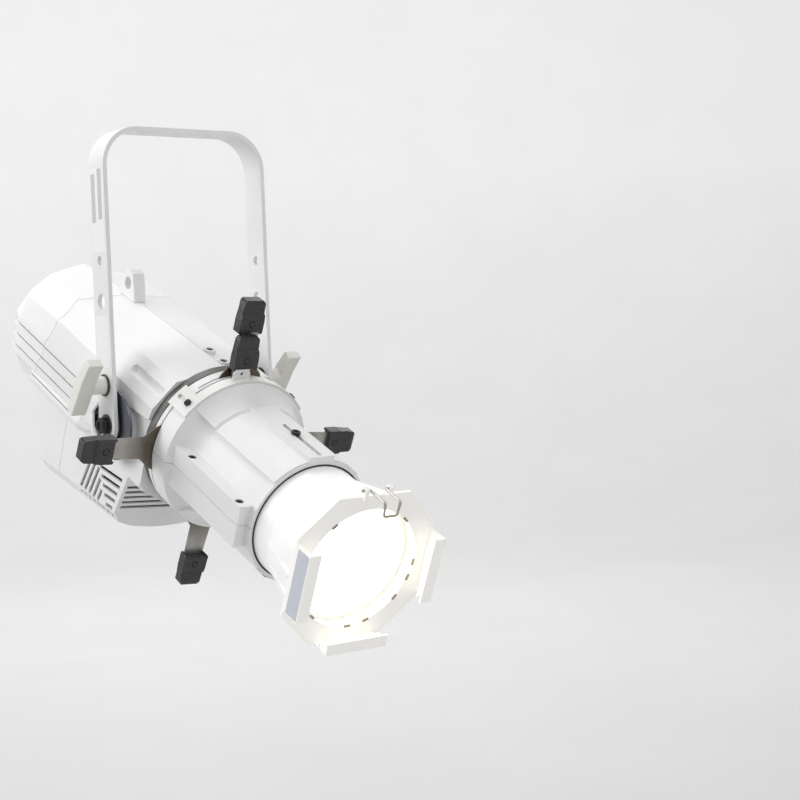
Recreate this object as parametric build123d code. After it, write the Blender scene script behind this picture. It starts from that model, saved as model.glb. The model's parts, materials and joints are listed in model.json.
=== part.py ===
from build123d import *
import os
from math import cos, hypot, radians, sin

# Ellipsoidal profile spotlight with an LED engine, hung in a flat-bar yoke.
# Row frame: millimetres, +Z up, lens towards -Y.  The origin is the centre of the clamp-bolt
# hole in the top bar of the yoke, on its upper face.
# Lamp frame: the same axes before the lamp is tilted.  The optical axis is the Y axis and
# "ahead" is the distance along -Y from the tilt pivot.

# ---------------------------------------------------------------- driving dimensions
YOKE_SPAN = 216.0           # over the outside of the arms
BAR_WIDTH = 38.0
BAR_THICK = 5.0
PIVOT_DROP = 344.0          # from the top of the yoke down to the tilt pivot
YOKE_CORNER = 46.0          # outer bend radius
CLAMP_HOLE_R = 6.5          # takes an M12 or 1/2 in clamp bolt
SAFETY_HOLE_RISE = 190.0
ACCESS_HOLE_RISE = 143.0
LOCK_RISE = 46.5            # tilt-lock lever above the pivot
LAMP_TILT = 24.3            # nose down at rest
AXIS_RISE = 6.5             # optical axis above the pivot

WALL = 3.0
SEAM = 0.4                  # half of the gap between the housing shells
JOINT_GAP = 0.9             # zig-zag joint of the rear cover
BARREL_SEAM = 0.3           # half of the gap between the barrel shells
RUN = 0.05                  # radial running clearance of a shaft

HOUSING_FRONT = 58.0
HOUSING_MID = -200.0
HOUSING_REAR = -322.0
BELLY_SPLIT = -148.0

FLANGE_R = 90.0
FLANGE_FRONT = 70.0
BARREL_REAR = 74.3
BARREL_BIG_R = 92.0
BARREL_R = 70.5
BARREL_RIM_R = 72.7
BARREL_FRONT = 271.0
GATE_R = 88.5
APERTURE_R = 39.0

BLADE_THICK = 1.0
HANDLE_WIDTH = 30.0
# name, direction from the top (clockwise seen from behind), plane ahead of the pivot
SHUTTERS = [
    ("bottom", 184.5, 79.5),
    ("left", -87.5, 82.0),
    ("right", 92.0, 84.5),
    ("top", 1.0, 87.0),
]
RIVET_REACH = 154.0         # rivet of an open shutter from the optical axis
HANDLE_REAR = 77.0
HANDLE_FRONT = 90.0
IRIS_PLANE = 93.0

TUBE_R = 67.1
TUBE_REAR = 150.0
HOLDER_REAR = 368.0
HOLDER_HALF = 85.0          # half the width over the frame channels
FRAME_HALF = 79.4           # half of a 158.8 mm colour frame
CHANNEL_HALF_LENGTH = 38.0
HOLDER_FRONT = 397.0
GUIDE_AHEAD = 216.0
KNOB_AHEAD = 222.0

TUBE_WALL = 2.6
FRONT_BORE_R = 71.0
FRONT_LENS_REAR = 345.0
REAR_LENS_REAR = 190.0
LENS_EDGE = 5.0
KNOB_SHANK_R = 2.4

ARM_INNER = YOKE_SPAN / 2 - BAR_THICK
ARM_OUTER = YOKE_SPAN / 2

LOCK_STUD_R = 5.0
PIVOT_BOLT_R = 6.0
WASHER_R = 13.0
WASHER_THICK = 2.0
DISC_R = 41.0
DISC_THICK = 3.0
DISC_FACE = ARM_INNER - 3.5   # outer face of the tilt disc

# ---------------------------------------------------------------- helpers
TILTED = Pos(0, 0, -PIVOT_DROP) * Rot(LAMP_TILT, 0, 0) * Pos(0, 0, AXIS_RISE)
PIVOT_Z = -AXIS_RISE        # the pivot in the lamp frame


def save(name, shape):
    export_step(shape, "parts/" + name + ".step")


def save_lamp(name, shape):
    """Write a piece modelled in the lamp frame."""
    save(name, TILTED * shape)


def group(shapes):
    return Compound([solid for shape in shapes for solid in shape.solids()])


def face(points):
    return make_face(Polyline(*points, close=True))


def across(ahead):
    """Plane across the optical axis, seen from the front: local x, y are X and Z."""
    return Plane(origin=(0, -ahead, 0), x_dir=(1, 0, 0), z_dir=(0, -1, 0))


def prism(sketch, rear, front):
    return extrude(across(rear) * sketch, front - rear)


def cylinder(radius, rear, front, x=0.0, z=0.0):
    return prism(Pos(x, z) * Circle(radius), rear, front)


def ring(outer, inner, rear, front):
    return prism(Circle(outer) - Circle(inner), rear, front)


def turned(points):
    """Revolve (radius, ahead) points about the optical axis."""
    return revolve(face([(radius, -ahead) for radius, ahead in points]), Axis.Y, 360)


def side_prism(points, x_from, x_to):
    """Extrude an (ahead, z) outline along X."""
    plane = Plane(origin=(x_from, 0, 0), x_dir=(0, -1, 0), z_dir=(1, 0, 0))
    flipped = [(ahead, -z) for ahead, z in points]
    return extrude(plane * face(flipped), x_to - x_from)


def block(x_from, x_to, rear, front, z_from, z_to):
    size = (x_to - x_from, front - rear, z_to - z_from)
    return Pos((x_from + x_to) / 2, -(rear + front) / 2, (z_from + z_to) / 2) * Box(*size)


def pin_x(radius, x_from, x_to, ahead=0.0, z=0.0):
    return Pos((x_from + x_to) / 2, -ahead, z) * Rot(0, 90, 0) * Cylinder(radius, x_to - x_from)


def pin_z(radius, z_from, z_to, x=0.0, ahead=0.0):
    return Pos(x, -ahead, (z_from + z_to) / 2) * Cylinder(radius, z_to - z_from)


def sector(inner, outer, middle, half):
    """Part of a ring, with angles in degrees clockwise from the top."""
    start = 90 - middle - half
    arcs = CenterArc((0, 0), outer, start, 2 * half) + CenterArc((0, 0), inner, start, 2 * half)
    ends = []
    for angle in (radians(start), radians(start + 2 * half)):
        near = (inner * cos(angle), inner * sin(angle))
        far = (outer * cos(angle), outer * sin(angle))
        ends.append(Line(near, far))
    return make_face(arcs + ends[0] + ends[1])


def both_sides(points):
    """Close a right-hand outline, top to bottom, with its mirror image."""
    left = [(-x, z) for x, z in reversed(points) if x > 0]
    return list(points) + left


def inset(points, wall):
    """Pull an outline in towards the axis by about the wall."""
    out = []
    for x, z in points:
        length = hypot(x, z)
        out.append((x * (1 - wall / length), z * (1 - wall / length)))
    return out


def section(points, ahead):
    return across(ahead) * face(both_sides(points))


def around(shape, angle):
    """Turn a piece made at the top clockwise about the optical axis."""
    return Rot(0, angle, 0) * shape


def on_side(shape, side):
    return shape if side > 0 else mirror(shape, Plane.YZ)


# ---------------------------------------------------------------- yoke
def yoke_path(offset):
    """Centre-line outline of the U at an inward offset from its outer face."""
    half = ARM_OUTER - offset
    top = -offset
    corner = YOKE_CORNER - offset
    foot = -PIVOT_DROP - BAR_WIDTH / 2
    lines = Line((-half, foot), (-half, top - corner))
    lines += CenterArc((-half + corner, top - corner), corner, 90, 90)
    lines += Line((-half + corner, top), (half - corner, top))
    lines += CenterArc((half - corner, top - corner), corner, 0, 90)
    lines += Line((half, top - corner), (half, foot))
    return lines, half, foot


def make_yoke():
    outer, half_out, foot = yoke_path(0)
    inner, half_in, foot = yoke_path(BAR_THICK)
    feet = Line((-half_out, foot), (-half_in, foot)) + Line((half_in, foot), (half_out, foot))
    plane = Plane(origin=(0, BAR_WIDTH / 2, 0), x_dir=(1, 0, 0), z_dir=(0, -1, 0))
    body = extrude(plane * make_face(outer + inner + feet), BAR_WIDTH)
    # the arms end in half rounds about the pivot
    corner = Pos(0, 0, -PIVOT_DROP - BAR_WIDTH / 4) * Box(YOKE_SPAN + 10, BAR_WIDTH + 2, BAR_WIDTH / 2)
    corner -= Pos(0, 0, -PIVOT_DROP) * Rot(0, 90, 0) * Cylinder(BAR_WIDTH / 2, YOKE_SPAN + 20)
    body -= corner
    body -= Pos(0, 0, -BAR_THICK / 2) * Cylinder(CLAMP_HOLE_R, BAR_THICK * 4)
    for x in (-50.0, 50.0):
        body -= Pos(x, 0, -BAR_THICK / 2) * Cylinder(CLAMP_HOLE_R, BAR_THICK * 4)
    holes = [(SAFETY_HOLE_RISE, 5.5), (ACCESS_HOLE_RISE, 9.0), (LOCK_RISE, LOCK_STUD_R + RUN)]
    holes.append((0.0, PIVOT_BOLT_R + RUN))
    for rise, radius in holes:
        body -= Pos(0, 0, rise - PIVOT_DROP) * Rot(0, 90, 0) * Cylinder(radius, YOKE_SPAN + 20)
    return body


def at_pivot(x_from, x_to, radius, rise=0.0):
    """Cylinder along X in the row frame, above the pivot by rise."""
    shape = Rot(0, 90, 0) * Cylinder(radius, x_to - x_from)
    return Pos((x_from + x_to) / 2, 0, rise - PIVOT_DROP) * shape


def make_arm_washers():
    washers = []
    for side in (-1, 1):
        for rise, hole in ((0.0, PIVOT_BOLT_R + RUN), (LOCK_RISE, LOCK_STUD_R + RUN)):
            washer = at_pivot(ARM_OUTER, ARM_OUTER + WASHER_THICK, WASHER_R, rise)
            washer -= at_pivot(ARM_OUTER - 1, ARM_OUTER + 4, hole, rise)
            washers.append(on_side(washer, side))
    return group(washers)


def make_friction_pads():
    pads = []
    for side in (-1, 1):
        pad = at_pivot(DISC_FACE + 0.1, ARM_INNER, 19.0)
        pad -= at_pivot(DISC_FACE - 1, ARM_INNER + 1, PIVOT_BOLT_R + 0.5)
        shoe = at_pivot(DISC_FACE + 0.1, ARM_INNER, 12.0, LOCK_RISE)
        shoe -= at_pivot(DISC_FACE - 1, ARM_INNER + 1, LOCK_STUD_R + RUN, LOCK_RISE)
        pads += [on_side(pad, side), on_side(shoe, side)]
    return group(pads)


def make_pivot_bolts():
    """Hex bolts through the arms into the bosses of the housing."""
    bolts = []
    head_from = ARM_OUTER + WASHER_THICK + 0.1
    for side in (-1, 1):
        bolt = pin_x(PIVOT_BOLT_R, 84.0, head_from + 1, 0, PIVOT_Z)
        head_plane = Plane(origin=(head_from, 0, PIVOT_Z), x_dir=(0, 1, 0), z_dir=(1, 0, 0))
        bolt += extrude(head_plane * RegularPolygon(9.5, 6), 8.0)
        bolt -= pin_x(4.5, head_from + 6.5, head_from + 9, 0, PIVOT_Z)
        bolts.append(on_side(bolt, side))
    return group(bolts)


def make_lock_lever():
    """T-shaped tilt lock: a stud, a hub and a cranked bar, for the +X side."""
    hub_from = ARM_OUTER + WASHER_THICK + 0.1
    hub_to = hub_from + 15.0
    bar_to = hub_to + 18.0
    lever = at_pivot(DISC_FACE + 0.3, hub_from + 1, LOCK_STUD_R, LOCK_RISE)
    lever += at_pivot(hub_from, hub_to + 1, 10.5, LOCK_RISE)
    # bar seen from the side, local x along the bar towards the front top end
    bar_points = [(-39, -5), (-12, -8.5), (12, -8.5), (39, -4), (39, 8), (12, 6.5), (-12, 8.5), (-39, 10)]
    bar_plane = Plane(origin=(hub_to, 0, LOCK_RISE - PIVOT_DROP), x_dir=(0, -0.70, 0.714), z_dir=(1, 0, 0))
    bar = extrude(bar_plane * fillet(face(bar_points).vertices(), 1.5), bar_to - hub_to)
    bar = fillet(bar.faces().sort_by(Axis.X)[-1].edges(), 1.5)
    return lever + bar


# ---------------------------------------------------------------- lamp housing
# right half of each section, top to bottom: crown, crease, shoulder, side, chine, keel
FRONT_SECTION = [(0, 87), (62, 72), (87, 40), (93, 8), (93, -38), (80, -66), (48, -84), (0, -90)]
MID_SECTION = [(0, 79), (64, 70), (88, 42), (94, 8), (94, -38), (81, -67), (48, -84), (0, -90)]
COVER_SECTION = [(0, 74), (62, 65), (87, 38), (94, 6), (94, -42), (80, -68), (46, -84), (0, -89)]
REAR_SECTION = [(0, 70), (44, 56), (68, 36), (86, 6), (87, -46), (74, -66), (40, -80), (0, -84)]
COVER_STEP = -292.0
FRONT_OPENING_R = 74.0
BEARING_R = 70.0


def housing_solid(wall):
    """The whole housing envelope, pulled in by wall."""
    sections = [(FRONT_SECTION, HOUSING_FRONT), (MID_SECTION, HOUSING_MID)]
    main = loft([section(inset(points, wall), ahead) for points, ahead in sections], ruled=True)
    sections = [(MID_SECTION, HOUSING_MID), (COVER_SECTION, COVER_STEP)]
    middle = loft([section(inset(points, wall), ahead) for points, ahead in sections], ruled=True)
    rear_end = HOUSING_REAR + wall
    sections = [(COVER_SECTION, COVER_STEP), (REAR_SECTION, rear_end)]
    end = loft([section(inset(points, wall), ahead) for points, ahead in sections], ruled=True)
    return main + middle + end


# zig-zag joint between the side shells and the rear cover, (ahead, z) from the top down
JOINT_LINE = [(-176, 120), (-186, 82), (-199, 68), (-195, 51), (-205, 18), (-213, 6), (-215, -14)]
JOINT_LINE += [(-224, -22), (-229, -39), (-242, -60), (-242, -120)]
GROOVE_ROWS = [0.0, -15.5, -31.0, -45.5]
GROOVE_FRONT = -120.0


def behind_joint(gap):
    """Everything behind the zig-zag joint, moved back by gap."""
    line = [(ahead - gap, z) for ahead, z in JOINT_LINE]
    return side_prism(line + [(-400, -120), (-400, 120)], -130, 130)


def side_grooves():
    """Long shallow grooves along both sides, each ending in a notch at the rear edge."""
    cuts = []
    for side in (-1, 1):
        for z in GROOVE_ROWS:
            groove = block(90.2, 110, HOUSING_REAR - 5, GROOVE_FRONT, z - 1.0, z + 1.0)
            notch = block(78, 110, HOUSING_REAR - 5, HOUSING_REAR + 12, z - 3.5, z + 3.5)
            cuts += [on_side(groove, side), on_side(notch, side)]
    return cuts


def side_fairing(side):
    """Rounded fairing low on the side of the housing, tapering at its front end."""
    body = cylinder(11.0, -236, -98, 86.0, -50.0)
    standing = (Align.CENTER, Align.CENTER, Align.MIN)
    nose = Pos(86.0, 98.0, -50.0) * Rot(90, 0, 0) * Cone(11.0, 3.0, 22.0, align=standing)
    return on_side(body + nose, side)


# hollow behind each yoke arm, (ahead, z), and the floor plate that closes it
RECESS = [(-66, -20), (-44, 17), (-12, 20), (70, 28), (70, -58), (-52, -58)]
RECESS_FLOOR = [(-62, -16), (-41, 20), (-12, 23), (56, 30), (56, -61), (-50, -61)]
RECESS_X = 85.5
SCALLOP = (76.6, 57.4, -16.0, 48.0, 7.0)    # x, z, rear, front, radius
CROWN_SCREWS = [(7.0, 6.0), (7.0, 40.0)]
CROWN_SCREW_R = 4.4


def rounded_bar(x, z, rear, front, radius):
    """Round bar along the axis with ball ends."""
    bar = cylinder(radius, rear, front, x, z)
    return bar + Pos(x, -rear, z) * Sphere(radius) + Pos(x, -front, z) * Sphere(radius)


def make_housing():
    outer = housing_solid(0.0)
    outer += side_fairing(1) + side_fairing(-1)
    for cut in side_grooves():
        outer -= cut
    for x, ahead in CROWN_SCREWS:
        outer += pin_z(7.5, 78.0, 88.2, x, ahead)
    hollow = outer - housing_solid(WALL)
    # front wall with the light opening
    wall = section(inset(FRONT_SECTION, WALL - 0.5), HOUSING_FRONT - WALL)
    hollow += extrude(wall, WALL)
    hollow -= cylinder(FRONT_OPENING_R, HOUSING_FRONT - 10, HOUSING_FRONT + 5)
    x, z, rear, front, radius = SCALLOP
    for side in (-1, 1):
        hollow -= on_side(side_prism(RECESS, RECESS_X, 120), side)
        # round boss that takes the pivot bolt, on the floor of the recess
        boss = pin_x(24.0, 72.0, 88.0, 0, PIVOT_Z)
        boss += pin_x(30.0, RECESS_X - WALL, DISC_FACE - DISC_THICK, 0, PIVOT_Z)
        boss += side_prism(RECESS_FLOOR, RECESS_X - WALL, RECESS_X)
        # pad behind the scallop on the shoulder
        boss += cylinder(radius + 2.5, rear - 8, front + 8, x - 1.5, z - 1.5) & outer
        hollow += on_side(boss, side)
        hollow -= on_side(rounded_bar(x, z, rear, front, radius), side)
        hollow -= on_side(pin_x(PIVOT_BOLT_R, 70.0, 120, 0, PIVOT_Z), side)
    for x, ahead in CROWN_SCREWS:
        hollow -= pin_z(CROWN_SCREW_R + 0.1, 84.5, 95.0, x, ahead)
    # open keel above the electronics box
    hollow -= block(-46, 46, -190, -20, -100, -70)
    return hollow


def half_of(shape, side):
    keep = block(SEAM, 200, -400, 200, -300, 300)
    return shape & on_side(keep, side)


def make_rear_cover(housing):
    cover = housing & behind_joint(JOINT_GAP)
    # shallow groove along the crown, in line with the seam between the side shells
    crown = [(-160, 90), (-160, 78.4), (HOUSING_MID, 77.8), (COVER_STEP, 72.8), (-330, 68.0), (-330, 90)]
    cover -= side_prism(crown, -SEAM, SEAM)
    # hot-air grille in the rear face
    for row in range(9):
        z = 44.0 - 12.0 * row
        reach = (58 ** 2 - min(abs(z + 4), 50) ** 2) ** 0.5
        cover -= block(-reach, reach, HOUSING_REAR - 5, HOUSING_REAR + 8, z - 2.6, z + 2.6)
    return cover


# ---------------------------------------------------------------- electronics box under the lamp
BELLY_FRONT_SECTION = [(77.5, -40), (79.7, -121), (69.7, -136.5), (50, -145.5), (20, -150.5), (0, -151.5)]
BELLY_REAR_SECTION = [(84, -40), (84, -158), (74, -172), (50, -180), (20, -184), (0, -184)]
BELLY_FRONT = 20.0
BELLY_REAR = -260.0
# the front face leans forward towards the top by this much for each millimetre of height
FACE_LEAN = 0.27
FACE_AHEAD = 1.8            # at the height FACE_Z
FACE_Z = -120.0
FACE = Plane(origin=(0, -FACE_AHEAD, FACE_Z), x_dir=(1, 0, 0), z_dir=(0, -1, -FACE_LEAN))


def belly_solid(wall):
    def cut(points):
        pulled = [(x - wall if x > 0 else x, z + wall if z < -100 else z) for x, z in points]
        return [(0, -40)] + pulled

    front = section(cut(BELLY_FRONT_SECTION), BELLY_FRONT)
    rear = section(cut(BELLY_REAR_SECTION), BELLY_REAR)
    solid = loft([rear, front], ruled=True)
    solid -= extrude(FACE.offset(-wall) * Rectangle(400, 400), 200)
    # the rear face leans forward towards the bottom
    return solid - extrude(PANEL.offset(-wall) * Rectangle(400, 400), 200)


PANEL_LEAN = LAMP_TILT
PANEL_AHEAD = -212.0
PANEL_Z = -129.0
PANEL = Plane(
    origin=(0, -PANEL_AHEAD, PANEL_Z),
    x_dir=(-1, 0, 0),
    z_dir=(0, cos(radians(PANEL_LEAN)), -sin(radians(PANEL_LEAN))),
)
# upright slots on each side, below a diagonal; level slots above it; notches along the chamfer
UPRIGHT_PITCH = 11.3
UPRIGHT_WIDTH = 5.8
UPRIGHT_LEAN = 0.30
UPRIGHTS = 7
LEVEL_PITCH = 9.2
LEVEL_WIDTH = 4.7
LEVEL_RISE = 0.135
LEVELS = 5
LOUVRE_PITCH = 7.7
LOUVRE_HEIGHT = 4.0
LOUVRE_DROOP = 5.0
LOUVRE_HALF = 74.0


def slanted_slot(start, end, width):
    """Side slot along a line between two (ahead, z) points."""
    length = hypot(end[0] - start[0], end[1] - start[1])
    across_ahead = -(end[1] - start[1]) / length * width / 2
    across_z = (end[0] - start[0]) / length * width / 2
    corners = [
        (start[0] + across_ahead, start[1] + across_z), (end[0] + across_ahead, end[1] + across_z),
        (end[0] - across_ahead, end[1] - across_z), (start[0] - across_ahead, start[1] - across_z),
    ]
    return side_prism(corners, 60, 92)


def face_ahead(z):
    """Distance ahead of the front face at a height."""
    return FACE_AHEAD + FACE_LEAN * (z - FACE_Z)


def belly_vents():
    slots = []
    for column in range(UPRIGHTS + 1):
        foot_ahead = -87.6 + UPRIGHT_PITCH * column
        foot = -133.0 + 1.0 * column
        # the diagonal falls towards the front
        top = min(-82.0, -93.0 - 1.0 * (foot_ahead + 62.0))
        if top > foot + 5:
            head = (foot_ahead + UPRIGHT_LEAN * (top - foot), top)
            slots.append(slanted_slot((foot_ahead, foot), head, UPRIGHT_WIDTH))
        notch_top = foot - 3.6
        notch = [(foot_ahead - 3.2, notch_top - 6.5), (foot_ahead - 1.4, notch_top)]
        slots.append(slanted_slot(notch[0], notch[1], UPRIGHT_WIDTH))
    for row in range(LEVELS):
        rear = -51.0 + 7.2 * row
        z = -87.0 - LEVEL_PITCH * row
        front = face_ahead(z) - 6.0
        slots.append(slanted_slot((rear, z), (front, z + LEVEL_RISE * (front - rear)), LEVEL_WIDTH))
    cuts = [on_side(slot, side) for slot in slots for side in (-1, 1)]
    for row in range(5):
        z = -83.6 - LOUVRE_PITCH * row
        low = z - LOUVRE_HEIGHT
        louvre = [(3, z - LOUVRE_DROOP), (LOUVRE_HALF, z), (LOUVRE_HALF, low), (3, low - LOUVRE_DROOP)]
        cut = prism(face(louvre), face_ahead(z) - 9, face_ahead(z) + 6)
        cuts += [cut, on_side(cut, -1)]
    return cuts


def make_belly(housing_envelope):
    shell = belly_solid(0.0) - belly_solid(WALL)
    shell -= housing_envelope
    for cut in belly_vents():
        shell -= cut
    return shell


# ---------------------------------------------------------------- rear panel fittings
CONNECTOR_X = [-54.0, -18.0, 18.0, 54.0]
CONNECTOR_Y = -26.0
CONTROL_SIZE = (112.0, 40.0)
CONTROL_Y = 18.0
DISPLAY_SIZE = (44.0, 22.0)
DISPLAY_X = -26.0
BUTTON_R = 4.0
BUTTONS = [("back_button", 10.0, 0.0), ("up_button", 24.0, 7.0)]
BUTTONS += [("down_button", 24.0, -7.0), ("enter_button", 38.0, 0.0)]


def on_panel(sketch, start, end):
    """Extrude a sketch on the rear panel; distances are outwards from its face."""
    return extrude(PANEL.offset(start) * sketch, end - start)


def make_connector(x, key):
    here = Pos(x, CONNECTOR_Y)
    shape = on_panel(here * RectangleRounded(26, 31, 3), 0.0, 3.0)
    shape += on_panel(here * Circle(11.5), -22.0, 0.5)
    shape += on_panel(here * Circle(12.2), 0.5, 5.0)
    shape -= on_panel(here * Circle(9.6), -15.0, 6.0)
    shape += on_panel(here * Rectangle(key, key), -16.0, -2.0)
    for corner_x, corner_y in ((-9.5, 12.0), (9.5, -12.0)):
        shape -= on_panel(here * Pos(corner_x, corner_y) * Circle(1.6), -1, 4)
    return shape


def panel_cuts():
    cuts = [on_panel(Pos(x, CONNECTOR_Y) * Circle(11.7), -5, 1) for x in CONNECTOR_X]
    cuts.append(on_panel(Pos(0, CONTROL_Y) * Rectangle(CONTROL_SIZE[0] - 8, CONTROL_SIZE[1] - 8), -5, 1))
    return cuts


def make_control_panel():
    here = Pos(0, CONTROL_Y)
    bezel = on_panel(here * RectangleRounded(*CONTROL_SIZE, 5), 0.0, 3.0)
    bezel += on_panel(here * Rectangle(CONTROL_SIZE[0] - 9, CONTROL_SIZE[1] - 9), -4.0, 0.5)
    bezel -= on_panel(Pos(DISPLAY_X, CONTROL_Y) * Rectangle(*DISPLAY_SIZE), 0.8, 4.0)
    for name, x, y in BUTTONS:
        bezel -= on_panel(Pos(x, CONTROL_Y + y) * Circle(BUTTON_R + RUN), -5.0, 4.0)
    return bezel


def make_button(x, y):
    here = Pos(x, CONTROL_Y + y)
    cap = on_panel(here * Circle(BUTTON_R), -2.5, 4.4)
    return cap


# ---------------------------------------------------------------- engine inside the housing
BOARD_AHEAD = -120.0


def make_heat_sink():
    sink = cylinder(64.0, BOARD_AHEAD - 12, BOARD_AHEAD - 2)
    for fin in range(15):
        x = -56.0 + 8.0 * fin
        reach = (70.0 ** 2 - x ** 2) ** 0.5
        sink += block(x - 1.0, x + 1.0, BOARD_AHEAD - 102, BOARD_AHEAD - 11, -reach, min(reach, 62))
    return sink


def make_led_board():
    board = cylinder(34.0, BOARD_AHEAD - 2, BOARD_AHEAD)
    for angle in range(0, 360, 60):
        x = 30 * cos(radians(angle))
        z = 30 * sin(radians(angle))
        board -= cylinder(1.8, BOARD_AHEAD - 3, BOARD_AHEAD + 1, x, z)
    return board


def make_led_emitters():
    emitters = []
    for ring_index, count in ((0, 1), (1, 6), (2, 12)):
        for index in range(count):
            angle = radians(360.0 / count * index + 15.0 * ring_index)
            radius = 10.0 * ring_index
            x = radius * cos(angle)
            z = radius * sin(angle)
            base = block(x - 2.2, x + 2.2, BOARD_AHEAD, BOARD_AHEAD + 1.2, z - 2.2, z + 2.2)
            dome = cylinder(1.8, BOARD_AHEAD + 1.0, BOARD_AHEAD + 2.4, x, z)
            emitters.append(base + dome)
    return group(emitters)


def make_light_mixer():
    """Tapered reflector tube from the emitters towards the condenser lens."""
    start = BOARD_AHEAD
    points = [(27, start), (35, start), (35, start + 4), (30, start + 4), (41, -44), (41, -40), (38, -40)]
    return turned(points)


def make_condenser_lens():
    rim = [(0, -30), (50, -30), (50, -24), (34, -15), (16, -10.5), (0, -9.5)]
    return turned(rim)


def make_lens_cell():
    """Ring that carries the condenser lens from the front wall of the housing."""
    cell = ring(58.0, 50.2, -34, HOUSING_FRONT - WALL)
    cell += ring(52.0, 42.0, -37, -30.2)
    cell += ring(80.0, 57.0, HOUSING_FRONT - WALL - 4, HOUSING_FRONT - WALL)
    for angle in (45, 135, 225, 315):
        x = 54.0 * cos(radians(angle))
        z = 54.0 * sin(radians(angle))
        cell += cylinder(3.0, BOARD_AHEAD - 2, -34, x, z)
    return cell


FAN_REAR = -272.0
FAN_SHAFT_R = 2.0


def make_fan_frame():
    frame = prism(RectangleRounded(92, 92, 6), FAN_REAR, FAN_REAR + 25)
    frame -= cylinder(43.0, FAN_REAR - 1, FAN_REAR + 26)
    frame += cylinder(16.0, FAN_REAR, FAN_REAR + 3)
    for angle in (45, 135):
        strut = prism(Rot(0, 0, angle) * Rectangle(92, 5), FAN_REAR, FAN_REAR + 3)
        frame += strut & cylinder(45.0, FAN_REAR - 1, FAN_REAR + 4)
    frame += cylinder(FAN_SHAFT_R, FAN_REAR + 2, FAN_REAR + 19)
    for x in (-41.0, 41.0):
        for z in (-41.0, 41.0):
            frame += cylinder(3.0, FAN_REAR + 24, BOARD_AHEAD - 102, x, z)
    return frame


def make_fan_rotor():
    hub = cylinder(16.0, FAN_REAR + 4, FAN_REAR + 23)
    for index in range(7):
        panel = Pos(0, -(FAN_REAR + 13.5), 28) * Rot(0, 0, 38) * Box(1.6, 17, 27)
        hub += around(panel, 360.0 / 7 * index)
    hub -= cylinder(FAN_SHAFT_R + RUN, FAN_REAR + 1, FAN_REAR + 20)
    return hub & cylinder(41.5, FAN_REAR, FAN_REAR + 24)


def make_driver_board():
    board = block(-61.5, 61.5, -145, -31, -116, -114)
    components = [(-35, -110, 22, 12), (5, -100, 30, 9), (38, -60, 18, 14), (-30, -55, 16, 8)]
    for x, ahead, width, height in components:
        board += block(x - width / 2, x + width / 2, ahead - 10, ahead + 10, -114.5, -114 + height)
    return board


def make_power_supply():
    case = block(-62, 62, -146, -30, -141, -116)
    case -= block(-60, 60, -144, -32, -139, -100)
    case += block(-40, 40, -130, -50, -139.5, -122)
    for x in (-40.0, 40.0):
        for ahead in (-125.0, -50.0):
            case += pin_z(4.0, -180, -140, x, ahead) & belly_solid(WALL)
    return case


# ---------------------------------------------------------------- safety lug and screws
LUG_OUTLINE = [(-203, 70), (-203, 98), (-196, 109), (-184, 115), (-176, 112), (-168, 98), (-158, 74)]
LUG_HALF = 8.0
LUG_HOLE_R = 8.0
LUG_HOLE_AHEAD = -184.0
LUG_HOLE_Z = 97.0


def make_safety_lug(housing_envelope):
    lug = side_prism(LUG_OUTLINE, -LUG_HALF, LUG_HALF)
    lug -= pin_x(LUG_HOLE_R, -20, 20, LUG_HOLE_AHEAD, LUG_HOLE_Z)
    return lug - housing_envelope


def make_housing_screws():
    screws = []
    for x, ahead in CROWN_SCREWS:
        screws.append(pin_z(CROWN_SCREW_R, 84.5, 86.8, x, ahead) - pin_z(2.0, 85.6, 90.0, x, ahead))
    return group(screws)


# ---------------------------------------------------------------- barrel
TUBE_BORE_R = 67.4
COVER_RISE = 2.4
EAR_ANGLE = 46.0


def barrel_outer():
    lines = Line((0, -BARREL_REAR), (BARREL_BIG_R, -BARREL_REAR))
    lines += Line((BARREL_BIG_R, -BARREL_REAR), (BARREL_BIG_R, -112))
    lines += ThreePointArc((BARREL_BIG_R, -112), (77.5, -122), (BARREL_R, -143))
    lines += Line((BARREL_R, -143), (BARREL_R, -262))
    lines += Line((BARREL_R, -262), (BARREL_RIM_R, -262))
    lines += Line((BARREL_RIM_R, -262), (BARREL_RIM_R, -BARREL_FRONT))
    lines += Line((BARREL_RIM_R, -BARREL_FRONT), (0, -BARREL_FRONT))
    lines += Line((0, -BARREL_FRONT), (0, -BARREL_REAR))
    return revolve(make_face(lines), Axis.Y, 360)


def neck_filler():
    top = BARREL_BIG_R - 0.6
    lines = Line((69, -107), (top, -107))
    lines += Line((top, -107), (top, -113))
    lines += ThreePointArc((top, -113), (83.0, -124), (77.0, -141))
    lines += Line((77.0, -141), (72.5, -146))
    lines += Line((72.5, -146), (69, -146))
    lines += Line((69, -146), (69, -107))
    return revolve(make_face(lines), Axis.Y, 360)


def rib(side_view, half_width):
    return side_prism(side_view, -half_width, half_width)


SIDE_RIB_TOP = 22.0
SIDE_RIB_BOTTOM = -26.0
SIDE_RIB_X = 84.0
BARREL_SCREWS = [144.0, 249.0]
BARREL_SCREW_X = 78.0
BARREL_SCREW_R = 4.6


def barrel_slots():
    cuts = []
    for name, angle, plane in SHUTTERS:
        cuts.append(prism(sector(78, 104, angle, 34), plane - 1.4, plane + 1.4))
    cuts.append(prism(sector(78, 104, 0, 42), IRIS_PLANE - 2.2, IRIS_PLANE + 2.6))
    return cuts


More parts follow.
